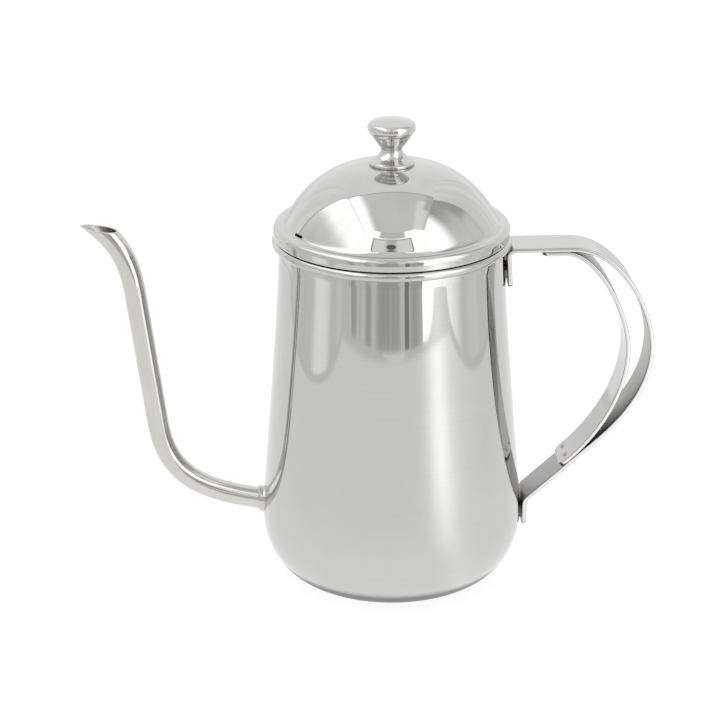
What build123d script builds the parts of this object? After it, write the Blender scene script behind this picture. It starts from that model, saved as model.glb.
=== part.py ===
"""Gooseneck drip kettle, stainless steel, built as separate welded and screwed pieces.

Frame: origin on the body's axis at the flat underside, +Z up, handle toward +X,
spout toward -X, the spout and the handle both in the XZ plane. Millimetres.
"""
import os
from math import cos, radians, sin, sqrt

from build123d import *

os.makedirs("parts", exist_ok=True)

# ---------------------------------------------------------------- driving sizes
BODY_T = 0.8                    # body sheet
BASE_FLAT_R = 28.85             # flat underside
BELLY_R = 48.637                # widest radius of the body
BELLY_Z = 24.21                 # height of the widest radius
NECK_R = 41.34                  # outside radius just under the rim
NECK_Z = 126.5
RIM_TUBE_R = 1.75               # rolled rim bead, cross-section radius
RIM_TOP_Z = 132.8
MOUTH_R = 40.25                 # clear radius of the mouth

LID_T = 0.8                     # lid sheet
LID_EDGE_Z = 133.12             # lower edge of the turned-down flange
LID_EDGE_R = 43.15
LID_SEAT_Z = 159.9              # flat pressed at the crown for the knob
LID_SEAT_R = 8.0
VENT_LEN = 5.2                  # steam slit at the foot of the dome, along the rim
VENT_WIDE = 1.0
VENT_ANGLE = 207.5              # degrees from +X
VENT_AT = (38.9, 139.1)         # (r, z) of its middle on the outside

RING_OUT_R = 39.7               # locating ring under the lid
RING_T = 0.8
RING_BOT_Z = 126.6

KNOB_SCREW_R = 2.0              # M4
KNOB_FOOT_R = 8.4
WASHER_T = 0.8
WASHER_R = 4.8
SCREW_HEAD_R = 3.9
SCREW_HEAD_H = 2.6

SPOUT_R = 4.0                   # outside radius of the spout tube
SPOUT_BORE_R = 3.4
SPOUT_ROOT_TILT = 12.0          # degrees below level, running into the body
SPOUT_ROOT = (-49.2, 29.1)      # (x, z) where the tube's axis meets the wall
SPOUT_LEAN = 0.131              # radians the long rise leans outward
SPOUT_TIP_RISE = 0.679          # radians above level at the tip
COLLAR_R = 4.75
COLLAR_FACE_X = -50.35          # its upright outer face

STRAP_T = 1.5                   # handle straps, both
STRAP_W = 16.0
STRAP_TOP_Z = 128.9
GRIP_X = 96.92                  # farthest reach of the outer strap
INNER_GRIP_X = 88.04            # and of the inner one
INNER_TOP_X = 54.7              # upper end of the inner strap
INNER_LOW_END = 16.8            # its lower end, measured along the straight run
TAB_GAP = 0.3                   # stand-off that the spot welds bridge
NUGGET_R = 1.9                  # tab welds
GRIP_NUGGET_R = 1.5             # welds between the two straps
NUGGET_SINK = 0.12              # dimple left by the electrode
# ------------------------------------------------------------------------------


def v(x, z):
    """A point of the XZ plane."""
    return Vector(x, 0, z)


def revolve_profile(edges):
    """Solid of revolution about Z from closed edges in the XZ plane."""
    face = Face(Wire(edges))
    s = Solid.revolve(face, 360, Axis.Z)
    return s


def save(solid, name):
    export_step(solid, f"parts/{name}.step")
    print(f"{name:26s} volume {solid.volume / 1000:8.3f} cm3")


def lerp(a, b, t):
    return a + (b - a) * t


# ------------------------------------------------------------------ body shell
def body_side_outer():
    """Outer side line: base corner, belly and long tapered side."""
    lower = Bezier(v(BASE_FLAT_R, 0), v(BASE_FLAT_R + 12.33, 0),
                   v(BELLY_R, BELLY_Z - 12.34), v(BELLY_R, BELLY_Z))
    upper = Bezier(v(BELLY_R, BELLY_Z), v(BELLY_R, BELLY_Z + 10.95),
                   v(NECK_R + 1.53, NECK_Z - 38.71), v(NECK_R, NECK_Z))
    return lower, upper


def offset_spline(edge, dist, n=15, end=None):
    """Curve parallel to a planar XZ edge, on the left of its direction.

    end replaces the last point where the neighbouring piece fixes it."""
    pts, tans = [], []
    for i in range(n):
        u = i / (n - 1)
        p = edge.position_at(u)
        t = edge.tangent_at(u)
        pts.append(Vector(p.X - t.Z * dist, 0, p.Z + t.X * dist))
        tans.append(t)
    if end is not None:
        pts[-1] = end
    return Spline(*pts, tangents=[tans[0], tans[-1]])


def body_outer_envelope():
    lower, upper = body_side_outer()
    edges = [Line(v(0, 0), v(BASE_FLAT_R, 0)), lower, upper,
             Line(v(NECK_R, NECK_Z), v(0, NECK_Z)), Line(v(0, NECK_Z), v(0, 0))]
    return revolve_profile(edges)


def make_body():
    lower, upper = body_side_outer()
    lower_in = offset_spline(lower, BODY_T)
    upper_in = offset_spline(upper, BODY_T)
    c = v(MOUTH_R + RIM_TUBE_R, RIM_TOP_Z - RIM_TUBE_R)      # centre of the rolled rim
    in_top = upper_in.position_at(1)
    # neck: outside face turns up into the underside of the bead, inside face
    # runs straight into the mouth; the bead curls outward and down
    a0 = radians(232)
    bead_join = v(c.X + RIM_TUBE_R * cos(a0), c.Z + RIM_TUBE_R * sin(a0))
    bead = ThreePointArc(bead_join, v(c.X + RIM_TUBE_R * cos(radians(26)), c.Z + RIM_TUBE_R * sin(radians(26))),
                         v(c.X - RIM_TUBE_R, c.Z))
    edges = [
        Line(v(0, 0), v(BASE_FLAT_R, 0)), lower, upper,
        Spline(v(NECK_R, NECK_Z), v(NECK_R - 0.11, NECK_Z + 1.6), bead_join,
               tangents=[upper.tangent_at(1), Vector(0.22, 0, 1)]),
        bead,
        Spline(v(c.X - RIM_TUBE_R, c.Z), in_top, tangents=[Vector(0, 0, -1), upper_in.tangent_at(1) * -1]),
        upper_in, lower_in,
        Line(lower_in.position_at(0), v(0, BODY_T)),
        Line(v(0, BODY_T), v(0, 0)),
    ]
    return revolve_profile(edges)


# ----------------------------------------------------------------------- spout
def spout_dir():
    t = radians(SPOUT_ROOT_TILT)
    return Vector(-cos(t), 0, sin(t))


def spout_path():
    """Axis of the gooseneck: root, low bend, long leaning rise, curled tip."""
    d = spout_dir()
    r = v(*SPOUT_ROOT)
    inner_end = r - d * 2.1
    a = r + d * 5.9
    rise = Vector(-sin(SPOUT_LEAN), 0, cos(SPOUT_LEAN))
    p = v(-87.22, 61.23)
    q = p + rise * 49.32
    e = v(-109.85, 141.07)
    out = Vector(-cos(SPOUT_TIP_RISE), 0, sin(SPOUT_TIP_RISE))
    return [
        Line(inner_end, a),
        Bezier(a, a + d * 19.4, p - rise * 19.93, p),
        Line(p, q),
        Bezier(q, q + rise * 13.5, e - out * 15.1, e),
        Line(e, e + out * 9.0),
    ]


def tube(radius):
    path = Wire(spout_path())
    prof = Plane(origin=path.position_at(0), z_dir=spout_dir()) * Circle(radius)
    return sweep(prof, path=path).solid()


def tip_cutter():
    """Everything above the slanting plane the tip is cut on."""
    tip = v(-114.1, 138.85)
    heel = v(-99.3, 136.25)
    run = (tip - heel).normalized()
    up = Vector(-run.Z, 0, run.X)
    if up.Z < 0:
        up = up * -1
    pln = Plane(origin=(tip + heel) * 0.5, x_dir=run, z_dir=up)
    return pln * Box(60, 40, 30, align=(Align.CENTER, Align.CENTER, Align.MIN))


def make_spout():
    outer = tube(SPOUT_R)
    bore = tube(SPOUT_BORE_R)
    return (outer - bore - tip_cutter()).solid(), outer


def root_cylinder(radius, start, length):
    d = spout_dir()
    return Plane(origin=v(*SPOUT_ROOT) + d * start, z_dir=d) * \
        Cylinder(radius, length, align=(Align.CENTER, Align.CENTER, Align.MIN))


def make_collar(envelope):
    """Weld ring round the tube: even in thickness, since its outer face is upright like the wall behind it."""
    ring = root_cylinder(COLLAR_R, -3.0, 8.0) - root_cylinder(SPOUT_R, -4.0, 10.0)
    beyond = Pos(COLLAR_FACE_X, 0, SPOUT_ROOT[1]) * Box(12, 16, 16, align=(Align.MAX, Align.CENTER, Align.CENTER))
    ring = (ring - envelope - beyond).solids().sort_by(SortBy.VOLUME)[-1]
    rim = [e for e in ring.edges() if abs(e.bounding_box().max.X - COLLAR_FACE_X) < 1e-3
           and abs(e.bounding_box().min.X - COLLAR_FACE_X) < 1e-3 and e.bounding_box().size.Y > 2 * COLLAR_R - 0.3]
    try:
        soft = fillet(rim, 0.4).solids().sort_by(SortBy.VOLUME)[-1]
        return soft if soft.is_valid else ring
    except Exception:
        return ring


# ---------------------------------------------------------------- handle straps
LOW_A = v(77.0, 52.09)                      # lower straight run of the outer strap,
LOW_DIR = Vector(-0.7444, 0, -0.6677).normalized()   # outside face, heading down to the body
LOW_NRM = Vector(LOW_DIR.Z, 0, -LOW_DIR.X)  # toward the finger side
LOWER_TAB_X = BELLY_R + TAB_GAP             # body-side face of the lower tab
UPPER_TAB = (v(42.40, 113.9), v(41.70, 125.6))   # body-side face of the upper tab


def strap(outer_edges, inner_edges):
    """Closed outline from an outside chain and an inside chain, given width."""
    o_start, o_end = outer_edges[0].position_at(0), outer_edges[-1].position_at(1)
    i_start, i_end = inner_edges[0].position_at(0), inner_edges[-1].position_at(1)
    outline = list(outer_edges) + [Line(o_end, i_end)] + list(inner_edges) + [Line(i_start, o_start)]
    face = Face(Wire(outline))
    half = STRAP_W / 2
    s = Solid.extrude(face.moved(Location((0, half, 0))), Vector(0, -STRAP_W, 0))
    return s


def arc_between(p0, t0, p1, t1):
    """Bend tangent to both directions."""
    return Spline(p0, p1, tangents=[t0, t1])


def make_outer_strap():
    tab_dir = (UPPER_TAB[1] - UPPER_TAB[0]).normalized()
    tab_nrm = Vector(tab_dir.Z, 0, -tab_dir.X)          # away from the body
    a0, a1 = UPPER_TAB
    b0, b1 = a0 + tab_nrm * STRAP_T, a1 + tab_nrm * STRAP_T
    # upper bend: large radius on the top face, small radius in the inside corner
    a2 = v(45.1, STRAP_TOP_Z)
    b2 = v(45.1, STRAP_TOP_Z - STRAP_T)
    b1 = b0 + tab_dir * 11.7
    a1 = a0 + tab_dir * 11.7
    bend_a = arc_between(a1, tab_dir, a2, Vector(1, 0, 0))
    bend_b = arc_between(b1, tab_dir, b2, Vector(1, 0, 0))
    a3 = v(65.52, STRAP_TOP_Z)
    b3 = v(65.52, STRAP_TOP_Z - STRAP_T)
    far = v(GRIP_X, 88.8)
    grip_a = [Bezier(a3, v(83.65, STRAP_TOP_Z), v(GRIP_X, 104.94), far),
              Bezier(far, v(GRIP_X, 73.21), LOW_A - LOW_DIR * 12.53, LOW_A)]
    grip_b = [offset_spline(e, -STRAP_T, 25) for e in grip_a]
    # lower bend and tab
    xa = LOWER_TAB_X + STRAP_T
    xb = LOWER_TAB_X
    corner_a = LOW_A + LOW_DIR * ((xa - LOW_A.X) / LOW_DIR.X)
    low_b0 = LOW_A + LOW_NRM * STRAP_T
    corner_b = low_b0 + LOW_DIR * ((xb - low_b0.X) / LOW_DIR.X)
    a5 = corner_a - LOW_DIR * 1.7
    a6 = v(xa, corner_a.Z - 1.7)
    k = (corner_b - corner_a)
    b5 = a5 + LOW_NRM * STRAP_T
    b6 = v(xb, a6.Z)
    low_bend_a = arc_between(a5, LOW_DIR, a6, Vector(0, 0, -1))
    low_bend_b = arc_between(b5, LOW_DIR, b6, Vector(0, 0, -1))
    a7, b7 = v(xa, 18.8), v(xb, 18.8)
    outer = [Line(a0, a1), bend_a, Line(a2, a3)] + grip_a + [Line(LOW_A, a5), low_bend_a, Line(a6, a7)]
    inner = [Line(b0, b1), bend_b, Line(b2, b3)] + grip_b + [Line(low_b0, b5), low_bend_b, Line(b6, b7)]
    s = strap(outer, inner)
    # rounded corners of both tabs
    corners = [e for e in s.edges() if abs(abs(e.center().Y) - STRAP_W / 2) < 1e-3
               and e.length < STRAP_T + 0.2
               and (abs(e.center().Z - 18.8) < 0.2 or abs(e.center().Z - 113.9) < 0.2)]
    s = fillet(corners, 2.5).solids().sort_by(SortBy.VOLUME)[-1]
    return s


def make_inner_strap():
    z_a = STRAP_TOP_Z - STRAP_T
    a0, a1 = v(INNER_TOP_X, z_a), v(63.28, z_a)
    low = LOW_A + LOW_NRM * STRAP_T
    a3 = low + LOW_DIR * 12.84
    a4 = low + LOW_DIR * INNER_LOW_END
    far = v(INNER_GRIP_X, 88.12)
    grip_a = [Bezier(a1, v(75.13, z_a), v(INNER_GRIP_X, 103.9), far),
              Bezier(far, v(INNER_GRIP_X, 72.8), a3 - LOW_DIR * 17.68, a3)]
    grip_b = [offset_spline(e, -STRAP_T, 25) for e in grip_a]
    b0, b1 = a0 - Vector(0, 0, STRAP_T), grip_b[0].position_at(0)
    b3 = grip_b[-1].position_at(1)
    b4 = a4 + LOW_NRM * STRAP_T
    s = strap([Line(a0, a1)] + grip_a + [Line(a3, a4)], [Line(b0, b1)] + grip_b + [Line(b3, b4)])
    corners = [e for e in s.edges() if abs(abs(e.center().Y) - STRAP_W / 2) < 1e-3
               and e.length < STRAP_T + 0.2]
    return fillet(corners, 3.0).solids().sort_by(SortBy.VOLUME)[-1]


def nugget(base, axis, depth_in, length, y, radius=NUGGET_R):
    """Weld nugget: a short cylinder from a point along an axis, at a width y."""
    p = Vector(base.X, y, base.Z) + axis * depth_in
    return Plane(origin=p, z_dir=axis) * Cylinder(radius, length, align=(Align.CENTER, Align.CENTER, Align.MIN))


# ------------------------------------------------------------------------- lid
def lid_outer_edges():
    """Upper side of the lid from the lower edge of the flange to the crown."""
    foot, foot_ctl = v(38.55, 139.65), v(31.53, 151.738)
    rise = (foot_ctl - foot).normalized()
    e = [
        Line(v(LID_EDGE_R, LID_EDGE_Z + 0.35), v(LID_EDGE_R, 135.4)),
        Bezier(v(LID_EDGE_R, 135.4), v(LID_EDGE_R, 136.9), v(42.35, 137.85), v(40.9, 137.85)),
        Bezier(v(40.9, 137.85), v(39.9, 137.85), foot - rise * 1.26, foot),
        Bezier(foot, foot_ctl, v(22.28, 158.69), v(LID_SEAT_R, LID_SEAT_Z)),
        Line(v(LID_SEAT_R, LID_SEAT_Z), v(KNOB_SCREW_R + 0.2, LID_SEAT_Z)),
    ]
    return e


def make_lid():
    top = lid_outer_edges()
    inner = [offset_spline(top[0], LID_T, 4), offset_spline(top[1], LID_T, 9), offset_spline(top[2], LID_T, 9),
             offset_spline(top[3], LID_T, 17, end=v(LID_SEAT_R, LID_SEAT_Z - LID_T))]
    hole = KNOB_SCREW_R + 0.2
    lower_in = v(LID_EDGE_R - LID_T, LID_EDGE_Z + 0.35)
    mid = v(LID_EDGE_R - LID_T / 2, LID_EDGE_Z - 0.05)
    rolled = ThreePointArc(lower_in, mid, v(LID_EDGE_R, LID_EDGE_Z + 0.35))
    edges = top + [
        Line(v(hole, LID_SEAT_Z), v(hole, LID_SEAT_Z - LID_T)),
        Line(v(hole, LID_SEAT_Z - LID_T), v(LID_SEAT_R, LID_SEAT_Z - LID_T)),
    ]
    edges += inner + [rolled]
    s = revolve_profile(edges)
    # steam slit, punched square to the foot of the dome
    a = radians(VENT_ANGLE)
    out = Vector(cos(a) * 0.80, sin(a) * 0.80, 0.60)
    p = Vector(cos(a) * VENT_AT[0], sin(a) * VENT_AT[0], VENT_AT[1])
    pln = Plane(origin=p - out * 1.6, x_dir=(-sin(a), cos(a), 0), z_dir=out)
    vent = extrude(pln * SlotOverall(VENT_LEN, VENT_WIDE), 3.2)
    return (s - vent).solid()


def make_locating_ring(lid):
    r0 = RING_OUT_R - RING_T
    top = 139.0
    ring = Pos(0, 0, RING_BOT_Z) * (Cylinder(RING_OUT_R, top - RING_BOT_Z, align=(Align.CENTER, Align.CENTER, Align.MIN))
                                    - Cylinder(r0, top - RING_BOT_Z, align=(Align.CENTER, Align.CENTER, Align.MIN)))
    pieces = (ring - lid).solids().sort_by(Axis.Z)
    s = pieces[0]
    low = [e for e in s.edges().filter_by(GeomType.CIRCLE) if abs(e.center().Z - RING_BOT_Z) < 1e-3]
    return fillet(low, 0.3).solids().sort_by(Axis.Z)[0]


# ------------------------------------------------------------------------ knob
def make_knob():
    z0 = LID_SEAT_Z
    head = Spline(v(4.95, 167.3), v(6.0, 168.75), v(6.95, 170.15), v(8.25, 171.9), v(8.72, 173.55), v(8.15, 175.15),
                  v(6.2, 176.05), v(3.2, 176.62), v(0, 176.8), tangents=[Vector(0.5, 0, 1), Vector(-1, 0, 0)])
    waist = Spline(v(4.25, 166.75), v(3.9, 165.3), v(4.45, 163.95), v(5.7, 162.55), v(7.7, 161.45),
                   tangents=[Vector(-0.35, 0, -1), Vector(1, 0, -0.33)])
    edges = [
        Line(v(0, 176.8), v(0, 168.6)),
        Line(v(0, 168.6), v(KNOB_SCREW_R, 167.9)),
        Line(v(KNOB_SCREW_R, 167.9), v(KNOB_SCREW_R, z0)),
        Line(v(KNOB_SCREW_R, z0), v(KNOB_FOOT_R - 0.3, z0)),
        ThreePointArc(v(KNOB_FOOT_R - 0.3, z0), v(KNOB_FOOT_R - 0.088, z0 + 0.088), v(KNOB_FOOT_R, z0 + 0.3)),
        Line(v(KNOB_FOOT_R, z0 + 0.3), v(KNOB_FOOT_R, z0 + 0.85)),
        ThreePointArc(v(KNOB_FOOT_R, z0 + 0.85), v(KNOB_FOOT_R - 0.12, z0 + 1.18), v(KNOB_FOOT_R - 0.42, z0 + 1.32)),
        Line(v(KNOB_FOOT_R - 0.42, z0 + 1.32), v(7.7, 161.45)),
        waist,
        Line(v(4.25, 166.75), v(4.95, 167.3)),
        head,
    ]
    return revolve_profile(edges)


def make_screw():
    z_head = LID_SEAT_Z - LID_T - WASHER_T
    shank_top = 167.4
    r = KNOB_SCREW_R
    h = SCREW_HEAD_H
    edges = [
        Line(v(0, shank_top), v(r - 0.4, shank_top)),
        Line(v(r - 0.4, shank_top), v(r, shank_top - 0.4)),
        Line(v(r, shank_top - 0.4), v(r, z_head)),
        Line(v(r, z_head), v(SCREW_HEAD_R, z_head)),
        Line(v(SCREW_HEAD_R, z_head), v(SCREW_HEAD_R, z_head - 0.9)),
        Bezier(v(SCREW_HEAD_R, z_head - 0.9), v(SCREW_HEAD_R, z_head - 1.9), v(2.6, z_head - h), v(1.2, z_head - h)),
        Line(v(1.2, z_head - h), v(0, z_head - h)),
        Line(v(0, z_head - h), v(0, shank_top)),
    ]
    s = revolve_profile(edges)
    # cross recess in the head
    for w, l in ((0.95, 4.4), (4.4, 0.95)):
        s = s - Pos(0, 0, z_head - h - 0.1) * Box(w, l, 1.5, align=(Align.CENTER, Align.CENTER, Align.MIN))
    return s.solid()


def make_washer():
    z = LID_SEAT_Z - LID_T - WASHER_T
    w = Pos(0, 0, z) * (Cylinder(WASHER_R, WASHER_T, align=(Align.CENTER, Align.CENTER, Align.MIN))
                        - Cylinder(KNOB_SCREW_R, WASHER_T, align=(Align.CENTER, Align.CENTER, Align.MIN)))
    return w.solid()


# ---------------------------------------------------------------------- build
def main():
    envelope = body_outer_envelope()
    body = make_body()
    spout, spout_outer = make_spout()
    collar = make_collar(envelope)
    outer_strap = make_outer_strap()
    inner_strap = make_inner_strap()

    # the wall is pierced for the tube
    body = (body - root_cylinder(SPOUT_R, -6.0, 10.0)).solids().sort_by(SortBy.VOLUME)[-1]

    # spot welds of the two tabs: through the tab, across the stand-off, into the wall
    x_up = lerp(UPPER_TAB[0], UPPER_TAB[1], 0.42)
    tab_dir = (UPPER_TAB[1] - UPPER_TAB[0]).normalized()
    tab_out = Vector(tab_dir.Z, 0, -tab_dir.X)
    upper = [nugget(x_up, tab_out, -1.05, 1.05 + STRAP_T - NUGGET_SINK, y) for y in (-4.3, 4.3)]
    lower_pt = v(LOWER_TAB_X, 22.6)
    lower = [nugget(lower_pt, Vector(1, 0, 0), -1.0, 1.0 + STRAP_T - NUGGET_SINK, y) for y in (-4.3, 4.3)]

    # spot welds joining the inner strap to the outer one at each end
    top_pt = v(INNER_TOP_X + 4.0, STRAP_TOP_Z - STRAP_T)
    down = Vector(0, 0, -1)
    low_pt = LOW_A + LOW_NRM * STRAP_T + LOW_DIR * (INNER_LOW_END - 3.6)
    g = GRIP_NUGGET_R
    grip_top = [nugget(top_pt, down, -0.75, 0.75 + STRAP_T - NUGGET_SINK, y, g) for y in (-4.0, 4.0)]
    grip_low = [nugget(low_pt, LOW_NRM, -0.75, 0.75 + STRAP_T - NUGGET_SINK, y, g) for y in (-4.0, 4.0)]

    for y in (-4.3, 4.3):
        for n in (nugget(x_up, tab_out, -1.05, 4.0, y), nugget(lower_pt, Vector(1, 0, 0), -1.0, 4.0, y)):
            outer_strap = outer_strap - n
            body = body - n
    for y in (-4.0, 4.0):
        for n in (nugget(top_pt, down, -0.75, 4.0, y, g), nugget(low_pt, LOW_NRM, -0.75, 4.0, y, g)):
            outer_strap = outer_strap - n
            inner_strap = inner_strap - n
    outer_strap = outer_strap.solids().sort_by(SortBy.VOLUME)[-1]
    inner_strap = inner_strap.solids().sort_by(SortBy.VOLUME)[-1]
    body = body.solids().sort_by(SortBy.VOLUME)[-1]

    lid = make_lid()
    ring = make_locating_ring(lid)
    knob = make_knob()
    screw = make_screw()
    washer = make_washer()

    save(body, "body_shell")
    save(spout, "spout_tube")
    save(collar, "spout_weld_collar")
    save(outer_strap, "handle_outer_strap")
    save(inner_strap, "handle_inner_strap")
    save(Compound(upper), "upper_tab_spot_welds")
    save(Compound(lower), "lower_tab_spot_welds")
    save(Compound(grip_top), "grip_top_spot_welds")
    save(Compound(grip_low), "grip_bottom_spot_welds")
    save(lid, "lid_shell")
    save(ring, "lid_locating_ring")
    save(knob, "lid_knob")
    save(screw, "knob_screw")
    save(washer, "knob_washer")


main()
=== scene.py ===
import math

import bmesh
import bpy
import numpy as np
from mathutils import Matrix, Vector


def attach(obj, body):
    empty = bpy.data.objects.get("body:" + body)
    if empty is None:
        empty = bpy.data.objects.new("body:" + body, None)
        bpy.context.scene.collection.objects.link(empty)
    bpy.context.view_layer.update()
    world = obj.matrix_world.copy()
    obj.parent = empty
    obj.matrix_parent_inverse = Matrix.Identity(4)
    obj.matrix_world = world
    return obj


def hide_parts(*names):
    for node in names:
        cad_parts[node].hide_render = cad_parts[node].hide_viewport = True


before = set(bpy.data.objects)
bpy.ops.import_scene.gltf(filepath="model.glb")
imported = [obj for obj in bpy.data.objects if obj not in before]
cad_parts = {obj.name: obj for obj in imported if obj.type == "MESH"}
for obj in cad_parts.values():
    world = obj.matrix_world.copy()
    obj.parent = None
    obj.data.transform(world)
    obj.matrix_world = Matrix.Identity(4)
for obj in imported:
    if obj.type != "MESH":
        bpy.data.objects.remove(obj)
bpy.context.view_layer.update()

MM = 0.001
POT, LID = "pot", "lid"


# ---------------------------------------------------------------- curves
def bez(a, b, c, d, n):
    t = np.linspace(0.0, 1.0, n)[:, None]
    a, b, c, d = (np.array(p, float) for p in (a, b, c, d))
    return (1 - t) ** 3 * a + 3 * t * (1 - t) ** 2 * b + 3 * t * t * (1 - t) * c + t**3 * d


def line(a, b, n):
    t = np.linspace(0.0, 1.0, n)[:, None]
    a, b = np.array(a, float), np.array(b, float)
    return a + (b - a) * t


def arc(centre, r, deg0, deg1, n):
    t = np.radians(np.linspace(deg0, deg1, n))
    return np.stack([centre[0] + r * np.cos(t), centre[1] + r * np.sin(t)], 1)


def chain(*parts):
    out = [np.asarray(parts[0])]
    for p in parts[1:]:
        p = np.asarray(p)
        out.append(p[1:] if np.linalg.norm(p[0] - out[-1][-1]) < 1e-6 else p)
    return np.vstack(out)


def offset(p, d):
    """The polyline moved sideways by d, to the left of its direction."""
    t = np.gradient(p, axis=0)
    t /= np.linalg.norm(t, axis=1)[:, None]
    return p + d * np.stack([-t[:, 1], t[:, 0]], 1)


def catmull(points, n):
    p = np.array(points, float)
    p = np.vstack([2 * p[0] - p[1], p, 2 * p[-1] - p[-2]])
    out = []
    for i in range(1, len(p) - 2):
        t = np.linspace(0, 1, n)[:, None]
        a, b, c, d = p[i - 1], p[i], p[i + 1], p[i + 2]
        s = 0.5 * (2 * b + (c - a) * t + (2 * a - 5 * b + 4 * c - d) * t**2 + (3 * b - a - 3 * c + d) * t**3)
        out.append(s if i == 1 else s[1:])
    return np.vstack(out)


def corner(p0, p1, p2, r, n=6):
    """A small rounding in place of the corner p1."""
    p0, p1, p2 = (np.array(p, float) for p in (p0, p1, p2))
    a = p1 + (p0 - p1) / np.linalg.norm(p0 - p1) * r
    b = p1 + (p2 - p1) / np.linalg.norm(p2 - p1) * r
    t = np.linspace(0, 1, n)[:, None]
    return (1 - t) ** 2 * a + 2 * t * (1 - t) * p1 + t**2 * b


# ---------------------------------------------------------------- meshes
def add(name, verts, faces, body, mat, nodes, sharp=32.0):
    me = bpy.data.meshes.new(name)
    me.from_pydata([tuple(v) for v in np.asarray(verts) * MM], [], faces)
    me.validate()
    bm = bmesh.new()
    bm.from_mesh(me)
    bmesh.ops.remove_doubles(bm, verts=bm.verts, dist=1e-7)
    bmesh.ops.recalc_face_normals(bm, faces=bm.faces)
    bm.to_mesh(me)
    bm.free()
    me.update()
    o = bpy.data.objects.new(name, me)
    bpy.context.scene.collection.objects.link(o)
    me.shade_smooth()
    me.set_sharp_from_angle(angle=math.radians(sharp))
    me.materials.append(mat)
    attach(o, body)
    if nodes:
        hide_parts(*nodes)
    return o


class Grid:
    """A bag of vertices and faces that the builders below fill."""

    def __init__(self):
        self.v, self.f = [], []

    def put(self, pts):
        i = len(self.v)
        self.v.extend(np.asarray(pts, float).tolist())
        return list(range(i, i + len(pts)))

    def strip(self, a, b, closed=True):
        n = len(a)
        for i in range(n if closed else n - 1):
            j = (i + 1) % n
            self.f.append((a[i], a[j], b[j], b[i]))

    def fan(self, ring, centre, flip=False):
        c = self.put([centre])[0]
        n = len(ring)
        for i in range(n):
            j = (i + 1) % n
            self.f.append((ring[j], ring[i], c) if flip else (ring[i], ring[j], c))


def revolve(profile, seg):
    """A closed solid from an (r, z) outline. It runs anticlockwise in the r-z half plane, and its ends are on the axis or it is a loop."""
    g = Grid()
    p = np.asarray(profile, float)
    th = np.arange(seg) * 2 * math.pi / seg
    rings = []
    for r, z in p:
        if r < 1e-6:
            rings.append(z)
        else:
            rings.append(g.put(np.stack([r * np.cos(th), r * np.sin(th), np.full(seg, z)], 1)))
    n = len(rings)
    loop = not (isinstance(rings[0], float) or isinstance(rings[-1], float))
    for i in range(n if loop else n - 1):
        a, b = rings[i], rings[(i + 1) % n]
        if isinstance(a, float) and isinstance(b, float):
            continue
        if isinstance(a, float):
            g.fan(b, (0, 0, a), True)
        elif isinstance(b, float):
            g.fan(a, (0, 0, b))
        else:
            g.strip(a, b)
    return g


def resample(p, step=None, n=None):
    """The same polyline with its points evenly spaced."""
    p = np.asarray(p, float)
    s = np.concatenate([[0], np.cumsum(np.linalg.norm(np.diff(p, axis=0), axis=1))])
    if n is None:
        n = max(2, int(round(s[-1] / step)) + 1)
    q = np.linspace(0, s[-1], n)
    return np.stack([np.interp(q, s, p[:, k]) for k in range(p.shape[1])], 1)


def placed(grid_or_pts, origin, axis):
    """Points of a piece turned on +Z, moved so that +Z lies along axis at origin."""
    axis = Vector(axis).normalized()
    m = axis.to_track_quat("Z", "Y").to_matrix()
    pts = np.asarray(grid_or_pts, float)
    return pts @ np.array(m).T + np.array(origin, float)


def cut(obj, cutters, sharp=32.0):
    """Takes the closed cutter meshes away from obj, in its mesh."""
    for c in cutters:
        m = obj.modifiers.new("cut", "BOOLEAN")
        m.operation = "DIFFERENCE"
        m.solver = "EXACT"
        m.object = c
    dg = bpy.context.evaluated_depsgraph_get()
    me = bpy.data.meshes.new_from_object(obj.evaluated_get(dg), depsgraph=dg)
    obj.modifiers.clear()
    old = obj.data
    obj.data = me
    bpy.data.meshes.remove(old)
    for c in cutters:
        d = c.data
        bpy.data.objects.remove(c)
        bpy.data.meshes.remove(d)
    me.shade_smooth()
    me.set_sharp_from_angle(angle=math.radians(sharp))


def cutter(profile, seg, origin, axis):
    """A turned tool for cut(), in millimetres like the pieces."""
    g = revolve(profile, seg)
    me = bpy.data.meshes.new("tool")
    me.from_pydata([tuple(v) for v in placed(g.v, origin, axis) * MM], [], g.f)
    me.update()
    o = bpy.data.objects.new("tool", me)
    bpy.context.scene.collection.objects.link(o)
    return o


def rod(r, z0, z1):
    return [(0, z0), (r, z0), (r, z1), (0, z1)]


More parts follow.
